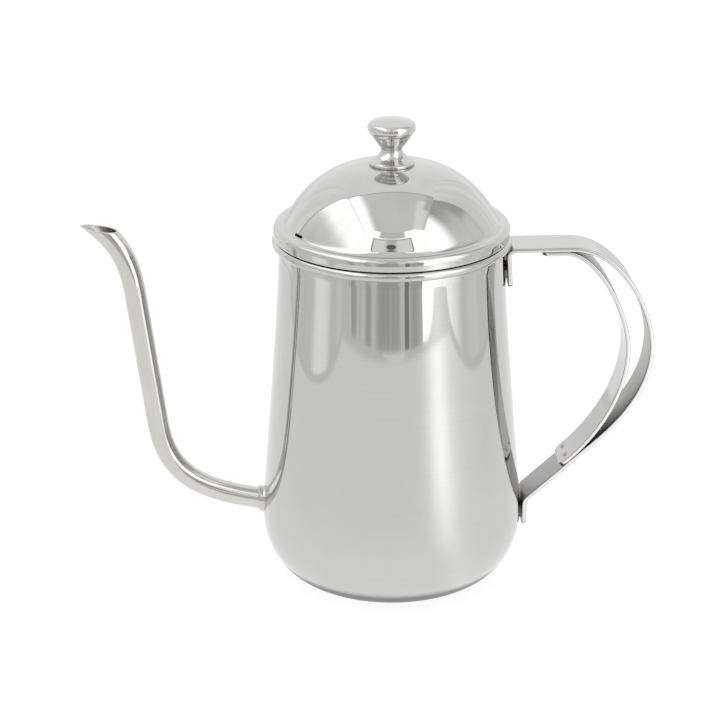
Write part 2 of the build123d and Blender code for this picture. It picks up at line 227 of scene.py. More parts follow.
# ---------------------------------------------------------------- materials
def steel(name, tint, rough, swirl="round", lines=2600.0, line_bump=0.012, wave=0.02, wave_scale=38.0,
          spread=0.03, smudge=0.05, dull=None, dull_rough=0.30, dull_tint=0.70):
    """Polished stainless sheet: fine polishing lines, slow ripple of the sheet, faint smears in the gloss and in the colour.

    dull says where the wheel did not reach: "inner" or "outer" face of a handle strap, the "bore" of the tube,
    or the "inside" of the pot and the lid."""
    m = bpy.data.materials.new(name)
    m.use_nodes = True
    nt = m.node_tree
    nt.nodes.clear()
    N, L = nt.nodes.new, nt.links.new
    out = N("ShaderNodeOutputMaterial")
    b = N("ShaderNodeBsdfPrincipled")
    L(b.outputs["BSDF"], out.inputs["Surface"])
    b.inputs["Metallic"].default_value = 1.0
    tc = N("ShaderNodeTexCoord")
    sep = N("ShaderNodeSeparateXYZ")
    L(tc.outputs["Object"], sep.inputs[0])

    def math_node(op, a, b_=None, c=None):
        n = N("ShaderNodeMath")
        n.operation = op
        for i, s in enumerate((a, b_, c)):
            if s is None:
                continue
            if isinstance(s, (int, float)):
                n.inputs[i].default_value = s
            else:
                L(s, n.inputs[i])
        return n.outputs[0]

    # where the polishing wheel ran: rings round the axis, or lines along the strip
    x, y, z = sep.outputs
    if swirl == "round":
        rr = math_node("SQRT", math_node("ADD", math_node("MULTIPLY", x, x), math_node("MULTIPLY", y, y)))
        run = math_node("ADD", math_node("MULTIPLY", z, 1.0), math_node("MULTIPLY", rr, -0.8))
        vec = N("ShaderNodeCombineXYZ")
        L(math_node("MULTIPLY", x, 14.0), vec.inputs[0])
        L(math_node("MULTIPLY", y, 14.0), vec.inputs[1])
        L(math_node("MULTIPLY", run, lines), vec.inputs[2])
    elif swirl == "along":
        vec = N("ShaderNodeCombineXYZ")
        L(math_node("MULTIPLY", x, 60.0), vec.inputs[0])
        L(math_node("MULTIPLY", y, lines), vec.inputs[1])
        L(math_node("MULTIPLY", z, 60.0), vec.inputs[2])
    elif swirl == "drawn":
        turn, run_ = N("ShaderNodeUVMap"), N("ShaderNodeUVMap")
        turn.uv_map, run_.uv_map = "turn", "run"
        s1, s2 = N("ShaderNodeSeparateXYZ"), N("ShaderNodeSeparateXYZ")
        L(turn.outputs[0], s1.inputs[0])
        L(run_.outputs[0], s2.inputs[0])
        vec = N("ShaderNodeCombineXYZ")
        L(math_node("MULTIPLY", s1.outputs[0], lines), vec.inputs[0])
        L(math_node("MULTIPLY", s1.outputs[1], lines), vec.inputs[1])
        L(math_node("MULTIPLY", s2.outputs[0], 0.35), vec.inputs[2])
    else:
        vec = N("ShaderNodeCombineXYZ")
        L(math_node("MULTIPLY", x, lines), vec.inputs[0])
        L(math_node("MULTIPLY", y, lines), vec.inputs[1])
        L(math_node("MULTIPLY", z, lines), vec.inputs[2])
    fine = N("ShaderNodeTexNoise")
    fine.inputs["Scale"].default_value = 1.0
    fine.inputs["Detail"].default_value = 3.0
    fine.inputs["Roughness"].default_value = 0.6
    L(vec.outputs[0], fine.inputs["Vector"])

    ripple = N("ShaderNodeTexNoise")
    ripple.inputs["Scale"].default_value = wave_scale
    ripple.inputs["Detail"].default_value = 1.5
    ripple.inputs["Roughness"].default_value = 0.45
    L(tc.outputs["Object"], ripple.inputs["Vector"])

    smear = N("ShaderNodeTexNoise")
    smear.inputs["Scale"].default_value = 55.0
    smear.inputs["Detail"].default_value = 5.0
    smear.inputs["Roughness"].default_value = 0.62
    smear.inputs["Distortion"].default_value = 0.6
    L(tc.outputs["Object"], smear.inputs["Vector"])

    # gloss
    rmap = N("ShaderNodeMapRange")
    rmap.inputs["From Min"].default_value = 0.35
    rmap.inputs["From Max"].default_value = 0.72
    rmap.inputs["To Min"].default_value = rough
    rmap.inputs["To Max"].default_value = rough + spread
    L(smear.outputs["Fac"], rmap.inputs["Value"])
    gloss = rmap.outputs[0]

    # colour: a touch darker in the smears and in the deepest lines
    ramp = N("ShaderNodeValToRGB")
    ramp.color_ramp.elements[0].position = 0.30
    ramp.color_ramp.elements[1].position = 0.66
    dark = tuple(c * (1 - smudge) for c in tint)
    ramp.color_ramp.elements[0].color = (*dark, 1)
    ramp.color_ramp.elements[1].color = (*tint, 1)
    mixv = math_node("ADD", math_node("MULTIPLY", smear.outputs["Fac"], 0.55),
                     math_node("MULTIPLY", fine.outputs["Fac"], 0.45))
    L(mixv, ramp.inputs["Fac"])
    colour = ramp.outputs["Color"]
    if dull is not None:
        if dull == "bore":
            face = s2.outputs[1]
        else:
            sn, away = N("ShaderNodeSeparateXYZ"), (60.0 * MM, 85.0 * MM)
            L(tc.outputs["Normal"], sn.inputs[0])
            dot = math_node("ADD", math_node("MULTIPLY", math_node("SUBTRACT", x, away[0]), sn.outputs[0]),
                            math_node("MULTIPLY", math_node("SUBTRACT", z, away[1]), sn.outputs[2]))
            if dull == "inside":
                inward = math_node("ADD", math_node("MULTIPLY", x, sn.outputs[0]), math_node("MULTIPLY", y, sn.outputs[1]))
                wall = math_node("MULTIPLY", math_node("LESS_THAN", inward, -1.5 * MM), math_node("LESS_THAN", z, 128 * MM))
                deep = math_node("MULTIPLY", math_node("GREATER_THAN", sn.outputs[2], 0.3), math_node("LESS_THAN", z, 9 * MM))
                under = math_node("MULTIPLY", math_node("LESS_THAN", sn.outputs[2], -0.12), math_node("GREATER_THAN", z, 136 * MM))
                face = math_node("MAXIMUM", under, math_node("MAXIMUM", wall, deep))
            elif dull == "outer":
                face = math_node("GREATER_THAN", dot, 6 * MM)
            else:
                tab = math_node("MULTIPLY", math_node("LESS_THAN", x, 50.2 * MM), math_node("LESS_THAN", sn.outputs[0], -0.5))
                face = math_node("MAXIMUM", math_node("LESS_THAN", dot, -6 * MM), tab)
        f1 = N("ShaderNodeMix")
        f1.data_type = "FLOAT"
        L(face, f1.inputs[0])
        L(gloss, f1.inputs[2])
        f1.inputs[3].default_value = dull_rough
        gloss = f1.outputs[0]
        f2 = N("ShaderNodeMix")
        f2.data_type = "RGBA"
        L(face, f2.inputs["Factor"])
        L(colour, f2.inputs["A"])
        f2.inputs["B"].default_value = (*(c * dull_tint for c in tint), 1)
        colour = f2.outputs["Result"]
        if dull in ("inner", "outer"):
            # the cut sides are brushed, not mirror bright
            side = math_node("GREATER_THAN", math_node("ABSOLUTE", sn.outputs[1]), 0.80)
            f3 = N("ShaderNodeMix")
            f3.data_type = "FLOAT"
            L(side, f3.inputs[0])
            L(gloss, f3.inputs[2])
            f3.inputs[3].default_value = 0.12
            gloss = f3.outputs[0]
            f4 = N("ShaderNodeMix")
            f4.data_type = "RGBA"
            L(side, f4.inputs["Factor"])
            L(colour, f4.inputs["A"])
            f4.inputs["B"].default_value = (0.69, 0.686, 0.675, 1)
            # and their rounded corners get a near-black line painted into the colour: a painted dark reflection along
            # the edges
            painted_edge_reflection = N("ShaderNodeMix")
            painted_edge_reflection.data_type = "RGBA"
            L(math_node("MULTIPLY", math_node("GREATER_THAN", math_node("ABSOLUTE", sn.outputs[1]), 0.22),
                        math_node("LESS_THAN", math_node("ABSOLUTE", sn.outputs[1]), 0.80)), painted_edge_reflection.inputs["Factor"])
            L(f4.outputs["Result"], painted_edge_reflection.inputs["A"])
            painted_edge_reflection.inputs["B"].default_value = (0.20, 0.197, 0.19, 1)
            colour = painted_edge_reflection.outputs["Result"]
    L(gloss, b.inputs["Roughness"])
    L(colour, b.inputs["Base Color"])

    # surface
    b1 = N("ShaderNodeBump")
    b1.inputs["Strength"].default_value = 1.0
    b1.inputs["Distance"].default_value = wave * MM
    L(ripple.outputs["Fac"], b1.inputs["Height"])
    b2 = N("ShaderNodeBump")
    b2.inputs["Strength"].default_value = 1.0
    b2.inputs["Distance"].default_value = line_bump * MM
    L(fine.outputs["Fac"], b2.inputs["Height"])
    L(b1.outputs["Normal"], b2.inputs["Normal"])
    L(b2.outputs["Normal"], b.inputs["Normal"])
    return m


M_BODY = steel("steel_body_spun", (0.568, 0.566, 0.558), 0.020, "round", lines=2200, line_bump=0.0004, wave=0.05, wave_scale=30, spread=0.022,
               dull="inside", dull_rough=0.34, dull_tint=1.22)
M_LID = steel("steel_lid_pressed", (0.578, 0.576, 0.568), 0.03, "round", lines=2600, line_bump=0.0005, wave=0.03, wave_scale=34,
              dull="inside", dull_rough=0.34, dull_tint=1.20)
M_TUBE = steel("steel_tube_drawn", (0.655, 0.647, 0.630), 0.045, "drawn", lines=11, line_bump=0.022, wave=0.04, wave_scale=60, smudge=0.13,
               dull="bore", dull_rough=0.42, dull_tint=0.80)
M_COLLAR = steel("steel_weld_ground", (0.590, 0.583, 0.568), 0.07, "any", lines=500, line_bump=0.002, wave=0.04, wave_scale=260)
M_STRAP = steel("steel_strip_polished", (0.572, 0.569, 0.560), 0.055, "along", lines=1500, line_bump=0.0016, wave=0.03, wave_scale=70,
                dull="inner")
M_STRAP_IN = steel("steel_strip_inner", (0.572, 0.569, 0.560), 0.055, "along", lines=1500, line_bump=0.0016, wave=0.03, wave_scale=70,
                   dull="outer")
# weld nuggets: partly a real heat tint, mostly painted shade, so that the nuggets stand in for the shadowed gap between
# each tab and the body
M_WELD_TINT_AND_SHADE = steel("steel_weld_heat_tint_painted_shade", (0.24, 0.228, 0.21), 0.30, "any", lines=900, line_bump=0.02, wave=0.12, wave_scale=420, smudge=0.25)
M_KNOB = steel("steel_knob_turned", (0.600, 0.596, 0.586), 0.03, "round", lines=5200, line_bump=0.0006, wave=0.02, wave_scale=90)
M_SCREW = steel("steel_screw", (0.56, 0.555, 0.54), 0.12, "any", lines=1500, line_bump=0.004, wave=0.02, wave_scale=300)

# ---------------------------------------------------------------- body shell
LOWER = bez((28.85, 0), (41.18, 0), (48.637, 11.87), (48.637, 24.21), 160)
UPPER = bez((48.637, 24.21), (48.637, 35.16), (42.87, 87.79), (41.34, 126.5), 400)
BC, BR = np.array((42.0, 131.05)), 1.75
JOIN = BC + BR * np.array((math.cos(math.radians(232)), math.sin(math.radians(232))))
T_END = (UPPER[-1] - UPPER[-2]) / np.linalg.norm(UPPER[-1] - UPPER[-2])
NECK = bez(UPPER[-1], UPPER[-1] + T_END * 1.1, JOIN - np.array((-0.02, 1.0)) * 1.0, JOIN, 14)
SIDE = chain(LOWER, UPPER, NECK)
SIDE = resample(SIDE, 0.75)
BEAD = arc(BC, BR, -128, 180, 56)
INNER = offset(resample(chain(LOWER, UPPER), 1.6), 0.8)
INNER = INNER[1:]
inner_up = np.array((40.25, 131.05))
LIP = bez(inner_up, inner_up + np.array((0, -1.6)), INNER[-1] + T_END * 1.6, INNER[-1], 8)
BASE = line((0, 0), (28.85, 0), 16)[1:]
outline = chain(np.array([(0.0, 0.0)]), BASE, SIDE, BEAD, LIP, INNER[::-1], line((28.0, 0.8), (0, 0.8), 16)[1:])


def body_r(z):
    return np.interp(z, np.concatenate([LOWER[:, 1], UPPER[1:, 1]]), np.concatenate([LOWER[:, 0], UPPER[1:, 0]]))


g = revolve(outline, 288)
body = add("body_shell_visual", g.v, g.f, POT, M_BODY, ["body_shell"], 30)
ROOT = np.array((-49.2, 0.0, 29.1))
ROOT_D = np.array((-math.cos(math.radians(12)), 0.0, math.sin(math.radians(12))))
cut(body, [cutter(rod(4.0, -6, 4), 64, ROOT, ROOT_D)], 30)


# ---------------------------------------------------------------- spout
def spout_line():
    d = ROOT_D[[0, 2]]
    r = ROOT[[0, 2]]
    rise = np.array((-math.sin(0.131), math.cos(0.131)))
    p = np.array((-87.22, 61.23))
    q = p + rise * 49.32
    e = np.array((-109.85, 141.07))
    out = np.array((-math.cos(0.679), math.sin(0.679)))
    a = r + d * 5.9
    return chain(line(r - d * 2.1, a, 8), bez(a, a + d * 19.4, p - rise * 19.93, p, 90), line(p, q, 60),
                 bez(q, q + rise * 13.5, e - out * 15.1, e, 90), line(e, e + out * 9.0, 20))


PATH = resample(spout_line(), 0.1)
TAN = np.gradient(PATH, axis=0)
TAN /= np.linalg.norm(TAN, axis=1)[:, None]
NRM = np.stack([-TAN[:, 1], TAN[:, 0]], 1)
TIP, HEEL = np.array((-114.1, 138.85)), np.array((-99.3, 136.25))
run = (TIP - HEEL) / np.linalg.norm(TIP - HEEL)
CUT_N = np.array((-run[1], run[0]))
if CUT_N[1] < 0:
    CUT_N = -CUT_N
S_ALL = np.concatenate([[0], np.cumsum(np.linalg.norm(np.diff(PATH, axis=0), axis=1))])


def tube_at(s, phi, rad):
    c = np.stack([np.interp(s, S_ALL, PATH[:, k]) for k in (0, 1)], -1)
    n = np.stack([np.interp(s, S_ALL, NRM[:, k]) for k in (0, 1)], -1)
    n /= np.linalg.norm(n, axis=-1)[..., None]
    xz = c + n * (rad * np.cos(phi))[..., None]
    y = rad * np.sin(phi) * np.ones(xz.shape[:-1])
    return np.stack([xz[..., 0], y, xz[..., 1]], -1)


def cut_s(phi, rad):
    """Where the tube's line at angle phi meets the slanting cut."""
    s = np.linspace(S_ALL[-1] * 0.55, S_ALL[-1], 3000)
    out = []
    for f in phi:
        p = tube_at(s, np.full_like(s, f), np.full_like(s, rad))
        h = (p[:, [0, 2]] - TIP) @ CUT_N
        k = int(np.argmax(h > 0))
        t = h[k - 1] / (h[k - 1] - h[k])
        out.append(s[k - 1] + (s[k] - s[k - 1]) * t)
    return np.array(out)


NPHI = 72
PHI = np.arange(NPHI) * 2 * math.pi / NPHI


def tube_rings(rad, back=0.0, step=0.9, s_from=0.0):
    sc = cut_s(PHI, rad) - back
    s_full = float(sc.min()) - 6.0
    stations = list(np.linspace(s_from, s_full, max(2, int((s_full - s_from) / step))))
    rings = [tube_at(np.full(NPHI, s), PHI, np.full(NPHI, rad)) for s in stations]
    for u in np.linspace(0, 1, 22)[1:]:
        rings.append(tube_at(s_full + (sc - s_full) * u, PHI, np.full(NPHI, rad)))
    return rings


g = Grid()
outer = [g.put(r) for r in tube_rings(4.0, back=0.12)]
lip_o = tube_at(cut_s(PHI, 3.93) - 0.0, PHI, np.full(NPHI, 3.93))
lip_m = tube_at(cut_s(PHI, 3.70) + 0.0, PHI, np.full(NPHI, 3.70))
lip_i = tube_at(cut_s(PHI, 3.47) + 0.0, PHI, np.full(NPHI, 3.47))
inner = [g.put(r) for r in tube_rings(3.4, back=0.12, step=1.4)]
# seen from the tip the angle runs the other way round, so the faces are wound to look outward
for a, b in zip(outer[:-1], outer[1:]):
    g.strip(b, a)
for a, b in zip(inner[:-1], inner[1:]):
    g.strip(a, b)
rims = [outer[-1], g.put(lip_o), g.put(lip_m), g.put(lip_i), inner[-1]]
for a, b in zip(rims[:-1], rims[1:]):
    g.strip(b, a)
g.strip(outer[0], inner[0])
spout = add("spout_tube_visual", g.v, g.f, POT, M_TUBE, ["spout_tube"], 50)
centre = np.array([(p[0], 0.0, p[1]) for p in PATH]) * MM
side_dir = np.array([(n[0], 0.0, n[1]) for n in NRM])
me = spout.data
turn_uv, run_uv = me.uv_layers.new(name="turn"), me.uv_layers.new(name="run")
co_ = np.empty(len(me.vertices) * 3)
me.vertices.foreach_get("co", co_)
co_ = co_.reshape(-1, 3)
near_i = np.array([int(np.argmin(((centre - p) ** 2).sum(1))) for p in co_ * np.array((1, 0, 1))])
rel = co_ - centre[near_i]
cx_, cy_ = (rel * side_dir[near_i]).sum(1), rel[:, 1]
rad_ = np.hypot(cx_, cy_)
vi = np.empty(len(me.loops), dtype=np.int32)
me.loops.foreach_get("vertex_index", vi)
turn_uv.uv.foreach_set("vector", np.stack([cx_ / rad_, cy_ / rad_], 1)[vi].ravel())
run_uv.uv.foreach_set("vector", np.stack([S_ALL[near_i] * 0.1, (rad_ < 3.55 * MM) * 1.0], 1)[vi].ravel())

# collar, fitted to the wall
u_ax = np.cross(ROOT_D, (0, 1, 0))
NC = 96
th = np.arange(NC) * 2 * math.pi / NC


def collar_ring(rad, s):
    off = rad * (np.cos(th)[:, None] * u_ax + np.sin(th)[:, None] * np.array((0, 1, 0)))
    return ROOT + ROOT_D * np.asarray(s)[..., None] + off


def wall_s(rad):
    lo, hi = np.full(NC, -4.0), np.full(NC, 4.0)
    for _ in range(40):
        mid = (lo + hi) / 2
        p = collar_ring(rad, mid)
        inside = np.hypot(p[:, 0], p[:, 1]) < body_r(p[:, 2])
        lo, hi = np.where(inside, mid, lo), np.where(inside, hi, mid)
    return (lo + hi) / 2


g = Grid()
weld = 0.06 * np.sin(th * 17) + 0.05 * np.sin(th * 29 + 1.0)
rings = [collar_ring(4.0, wall_s(4.0) - 0.2)]
rings.append(collar_ring(4.75 + 0.22, wall_s(4.97) - 0.12))
rings.append(collar_ring(4.75 + 0.13, wall_s(4.88) + 0.16 + 0.3 * weld))
rings.append(collar_ring(4.75, wall_s(4.75) + 0.42 + 0.4 * weld))


def face_s(rad, back=0.0):
    """Distance along the tube to the upright outer face of the collar."""
    return (50.35 - back - 49.2 + rad * np.cos(th) * u_ax[0]) / math.cos(math.radians(12))


for k in np.linspace(0.2, 1, 4):
    base_s = wall_s(4.75) + 0.42
    rings.append(collar_ring(4.75, base_s + (face_s(4.75, 0.40) - base_s) * k))
for a in np.radians(np.linspace(0, 90, 7))[1:]:
    rr_ = 4.35 + 0.40 * math.cos(a)
    rings.append(collar_ring(rr_, face_s(rr_, 0.40 * (1 - math.sin(a)))))
rings.append(collar_ring(4.12, face_s(4.12)))
rings.append(collar_ring(4.0, face_s(4.0, 0.08)))
ids = [g.put(r) for r in rings]
for a, b in zip(ids, ids[1:] + ids[:1]):
    g.strip(a, b)
collar = add("spout_weld_collar_visual", g.v, g.f, POT, M_COLLAR, ["spout_weld_collar"], 38)


# ---------------------------------------------------------------- handle straps
T = 1.5
LOW_A = np.array((77.0, 52.09))
LOW_DIR = np.array((-0.7444, -0.6677))
LOW_DIR = LOW_DIR / np.linalg.norm(LOW_DIR)
LOW_NRM = np.array((LOW_DIR[1], -LOW_DIR[0]))
TAB0, TAB1 = np.array((42.40, 113.9)), np.array((41.70, 125.6))
TAB_DIR = (TAB1 - TAB0) / np.linalg.norm(TAB1 - TAB0)
TAB_NRM = np.array((TAB_DIR[1], -TAB_DIR[0]))


def bend(p0, t0, p1, t1, n):
    c = np.linalg.norm(np.asarray(p1) - np.asarray(p0)) * 0.40
    return bez(p0, np.asarray(p0) + np.asarray(t0) * c, np.asarray(p1) - np.asarray(t1) * c, p1, n)


def paired(parts):
    """Stations of a strap from (outside, inside) curve pairs, with the same count in each pair."""
    a = np.vstack([p[0] if i == 0 else p[0][1:] for i, p in enumerate(parts)])
    b = np.vstack([p[1] if i == 0 else p[1][1:] for i, p in enumerate(parts)])
    return a, b


def with_inside(a, t=-T):
    return a, offset(a, t)


def strap_mesh(a, b, round_start, round_end, rho=0.30):
    """A strip of width 16 between two faces, with rounded plan corners and softened edges."""
    mid = (a + b) / 2
    s = np.concatenate([[0], np.cumsum(np.linalg.norm(np.diff(mid, axis=0), axis=1))])
    total = s[-1]
    ends = []
    for d in (0.0, 0.04, 0.10, 0.18, 0.30):
        ends.append(d)
    plan = max(round_start, round_end)
    fine = sorted(set(ends + list(plan * (1 - np.cos(np.linspace(0, math.pi / 2, 12))))))
    body_s = np.arange(plan + 0.6, total - plan - 0.6, 0.7)
    st = np.array(fine + list(body_s) + [total - d for d in reversed(fine)])
    A = np.stack([np.interp(st, s, a[:, k]) for k in (0, 1)], 1)
    B = np.stack([np.interp(st, s, b[:, k]) for k in (0, 1)], 1)
    g = Grid()
    rings = []
    for k, x in enumerate(st):
        d, r = (x, round_start) if x < total / 2 else (total - x, round_end)
        w = 8.0
        if d < r:
            w = 8.0 - (r - math.sqrt(max(0.0, r * r - (r - d) ** 2)))
        half = np.linalg.norm(A[k] - B[k]) / 2
        nrm = (A[k] - B[k]) / (2 * half)
        shrink = rho - math.sqrt(max(0.0, rho * rho - max(0.0, rho - d) ** 2)) if d < rho else 0.0
        hh, ww = half - shrink, w - shrink
        rr = min(rho, hh * 0.98) * (1.0 if shrink == 0 else max(0.05, 1 - shrink / rho))
        pts = []
        for (sy, st_), a0 in (((1, 1), 0), ((-1, 1), 90), ((-1, -1), 180), ((1, -1), 270)):
            for q in np.radians(np.linspace(a0, a0 + 90, 5)):
                pts.append((sy * (ww - rr) + rr * math.cos(q), st_ * (hh - rr) + rr * math.sin(q)))
            if a0 in (0, 180):
                y0, y1 = sy * (ww - rr), -sy * (ww - rr)
                for f in np.linspace(0, 1, 9)[1:-1]:
                    pts.append((y0 + (y1 - y0) * f, st_ * hh))
        c = (A[k] + B[k]) / 2
        rings.append(g.put([(c[0] + nrm[0] * t, y, c[1] + nrm[1] * t) for y, t in pts]))
    for p, q in zip(rings[:-1], rings[1:]):
        g.strip(p, q)
    g.f.append(tuple(rings[0]))
    g.f.append(tuple(reversed(rings[-1])))
    return g


def outer_strap():
    a0, b0 = TAB0, TAB0 + TAB_NRM * T
    a1, b1 = a0 + TAB_DIR * 11.7, b0 + TAB_DIR * 11.7
    a2, b2 = np.array((45.1, 128.9)), np.array((45.1, 128.9 - T))
    a3, b3 = np.array((65.52, 128.9)), np.array((65.52, 128.9 - T))
    far = np.array((96.92, 88.8))
    g1 = bez(a3, (83.65, 128.9), (96.92, 104.94), far, 120)
    g2 = bez(far, (96.92, 73.21), LOW_A - LOW_DIR * 12.53, LOW_A, 100)
    xb = 48.637 + 0.3
    xa = xb + T
    ca = LOW_A + LOW_DIR * ((xa - LOW_A[0]) / LOW_DIR[0])
    lb = LOW_A + LOW_NRM * T
    a5 = ca - LOW_DIR * 1.7
    a6 = np.array((xa, ca[1] - 1.7))
    b5, b6 = a5 + LOW_NRM * T, np.array((xb, a6[1]))
    down = np.array((0.0, -1.0))
    grip = with_inside(resample(chain(g1, g2), 0.6))
    parts = [
        (line(a0, a1, 14), line(b0, b1, 14)),
        (bend(a1, TAB_DIR, a2, (1, 0), 16), bend(b1, TAB_DIR, b2, (1, 0), 16)),
        (line(a2, a3, 20), line(b2, b3, 20)),
        grip,
        (line(LOW_A, a5, 24), line(lb, b5, 24)),
        (bend(a5, LOW_DIR, a6, down, 14), bend(b5, LOW_DIR, b6, down, 14)),
        (line(a6, (xa, 18.8), 10), line(b6, (xb, 18.8), 10)),
    ]
    return paired(parts)


def inner_strap():
    za = 128.9 - T
    a0, a1 = np.array((54.7, za)), np.array((63.28, za))
    low = LOW_A + LOW_NRM * T
    a3, a4 = low + LOW_DIR * 12.84, low + LOW_DIR * 16.8
    far = np.array((88.04, 88.12))
    g1 = bez(a1, (75.13, za), (88.04, 103.9), far, 120)
    g2 = bez(far, (88.04, 72.8), a3 - LOW_DIR * 17.68, a3, 100)
    grip = with_inside(resample(chain(g1, g2), 0.6))
    dn = np.array((0.0, -T))
    return paired([
        (line(a0, a1, 10), line(a0 + dn, a1 + dn, 10)),
        grip,
        (line(a3, a4, 6), line(a3 + LOW_NRM * T, a4 + LOW_NRM * T, 6)),
    ])


def xz(p):
    return np.array((p[0], 0.0, p[1]))


def at_y(p, y):
    return np.array((p[0], y, p[1]))


A_, B_ = outer_strap()
g = strap_mesh(A_, B_, 2.5, 2.5)
outer_piece = add("handle_outer_strap_visual", g.v, g.f, POT, M_STRAP, ["handle_outer_strap"], 40)
A_, B_ = inner_strap()
g = strap_mesh(A_, B_, 3.0, 3.0)
inner_piece = add("handle_inner_strap_visual", g.v, g.f, POT, M_STRAP_IN, ["handle_inner_strap"], 40)

up_pt = TAB0 + (TAB1 - TAB0) * 0.42
low_tab = np.array((48.937, 22.6))
top_pt = np.array((58.7, 128.9 - T))
low_pt = LOW_A + LOW_NRM * T + LOW_DIR * 13.2
SINK = 0.12
dish = [(0, T - 0.13), (1.30, T - 0.13), (1.60, T - 0.11), (1.82, T - 0.05), (1.98, T + 0.02), (2.06, T + 0.4), (0, T + 0.4)]
dish_g = [(r * 0.79, z) for r, z in dish]
cut(outer_piece, [cutter(dish, 48, at_y(up_pt, y), xz(TAB_NRM)) for y in (-4.3, 4.3)]
    + [cutter(dish, 48, at_y(low_tab, y), (1, 0, 0)) for y in (-4.3, 4.3)], 40)
cut(inner_piece, [cutter(dish_g, 40, at_y(top_pt, y), (0, 0, -1)) for y in (-4.0, 4.0)]
    + [cutter(dish_g, 40, at_y(low_pt, y), xz(LOW_NRM)) for y in (-4.0, 4.0)], 40)


def nuggets(name, slot_node, point, axis, ys, rad, back):
    """Two weld nuggets: shallow crowned buttons with a ring left by the electrode, in the bottom of their dimples."""
    top = T - SINK
    prof = [(0, -back), (rad - 0.1, -back), (rad - 0.02, -back + 0.1), (rad - 0.02, top - 0.12), (rad - 0.10, top - 0.04),
            (rad * 0.90, top - 0.015), (rad * 0.80, top - 0.03), (rad * 0.70, top - 0.045), (rad * 0.58, top - 0.02),
            (rad * 0.45, top), (rad * 0.25, top + 0.015), (0, top + 0.02)]
    prof = [prof[0]] + list(resample(prof[1:-1], 0.12)) + [prof[-1]]
    g = Grid()
    for y in ys:
        h = revolve(prof, 40)
        base = len(g.v)
        g.v.extend(placed(h.v, at_y(point, y), axis).tolist())
        g.f.extend(tuple(i + base for i in f) for f in h.f)
    return add(name, g.v, g.f, POT, M_WELD_TINT_AND_SHADE, [slot_node], 50)


nuggets("upper_tab_spot_welds_visual", "upper_tab_spot_welds", up_pt, xz(TAB_NRM), (-4.3, 4.3), 1.9, 0.95)
nuggets("lower_tab_spot_welds_visual", "lower_tab_spot_welds", low_tab, (1, 0, 0), (-4.3, 4.3), 1.9, 0.95)
nuggets("grip_top_spot_welds_visual", "grip_top_spot_welds", top_pt, (0, 0, -1), (-4.0, 4.0), 1.5, 0.70)
nuggets("grip_bottom_spot_welds_visual", "grip_bottom_spot_welds", low_pt, xz(LOW_NRM), (-4.0, 4.0), 1.5, 0.70)

# ---------------------------------------------------------------- lid
FOOT, FOOT_CTL = np.array((38.55, 139.65)), np.array((31.53, 151.738))
RISE = (FOOT_CTL - FOOT) / np.linalg.norm(FOOT_CTL - FOOT)
L1 = line((43.15, 133.47), (43.15, 135.4), 6)
L2 = bez((43.15, 135.4), (43.15, 136.9), (42.35, 137.85), (40.9, 137.85), 24)
L3 = bez((40.9, 137.85), (39.9, 137.85), FOOT - RISE * 1.26, FOOT, 30)
L4 = bez(FOOT, FOOT_CTL, (22.28, 158.69), (8.0, 159.9), 300)
TOP = resample(chain(L1, L2, L3, L4), 0.42)
UNDER = offset(resample(chain(L1, L2, L3, L4), 0.9), 0.8)
UNDER[-1] = (8.0, 159.1)
UNDER[0] = (42.35, 133.47)
EDGE = arc((42.75, 133.47), 0.4, 180, 360, 12)
seat = line((8.0, 159.9), (2.2, 159.9), 8)
outline = chain(EDGE, TOP, seat, line((2.2, 159.9), (2.2, 159.1), 3), line((2.2, 159.1), (8.0, 159.1), 8), UNDER[::-1])
outline = outline[:-1] if np.linalg.norm(outline[0] - outline[-1]) < 1e-6 else outline
g = revolve(outline, 288)
lid = add("lid_shell_visual", g.v, g.f, LID, M_LID, ["lid_shell"], 30)
va = math.radians(207.5)
V_OUT = Vector((math.cos(va) * 0.80, math.sin(va) * 0.80, 0.60))
V_AT = Vector((math.cos(va) * 38.9, math.sin(va) * 38.9, 139.1))


def slit_tool(at, along, out, length, wide, z0, z1):
    """A slot with round ends, in millimetres."""
    along, out = Vector(along).normalized(), Vector(out).normalized()
    cross = out.cross(along)
    r_, h_ = wide / 2, (length - wide) / 2
    pts = [(h_ + r_ * math.cos(q), r_ * math.sin(q)) for q in np.radians(np.linspace(-90, 90, 13))]
    pts += [(-h_ + r_ * math.cos(q), r_ * math.sin(q)) for q in np.radians(np.linspace(90, 270, 13))]
    n = len(pts)
    v_ = [tuple((at + along * u + cross * w_ + out * t) * MM) for t in (z0, z1) for u, w_ in pts]
    f_ = [tuple(range(n))[::-1], tuple(range(n, 2 * n))] + [(i, (i + 1) % n, n + (i + 1) % n, n + i) for i in range(n)]
    me_ = bpy.data.meshes.new("tool")
    me_.from_pydata(v_, [], f_)
    me_.update()
    o = bpy.data.objects.new("tool", me_)
    bpy.context.scene.collection.objects.link(o)
    return o


cut(lid, [slit_tool(V_AT, (-math.sin(va), math.cos(va), 0), V_OUT, 5.2, 1.0, -1.6, 1.6)], 30)

ring_prof = chain(line((38.9, 126.9), (39.0, 126.68), 2), arc((39.2, 126.9), 0.3, 225, 270, 4),
                  line((39.2, 126.6), (39.4, 126.6), 2), arc((39.4, 126.9), 0.3, 270, 360, 7),
                  line((39.7, 126.9), (39.7, 137.3), 14), line((39.7, 137.3), (38.9, 137.9), 3),
                  line((38.9, 137.9), (38.9, 126.9), 14))[:-1]
g = revolve(ring_prof, 192)
add("lid_locating_ring_visual", g.v, g.f, LID, M_LID, ["lid_locating_ring"], 30)

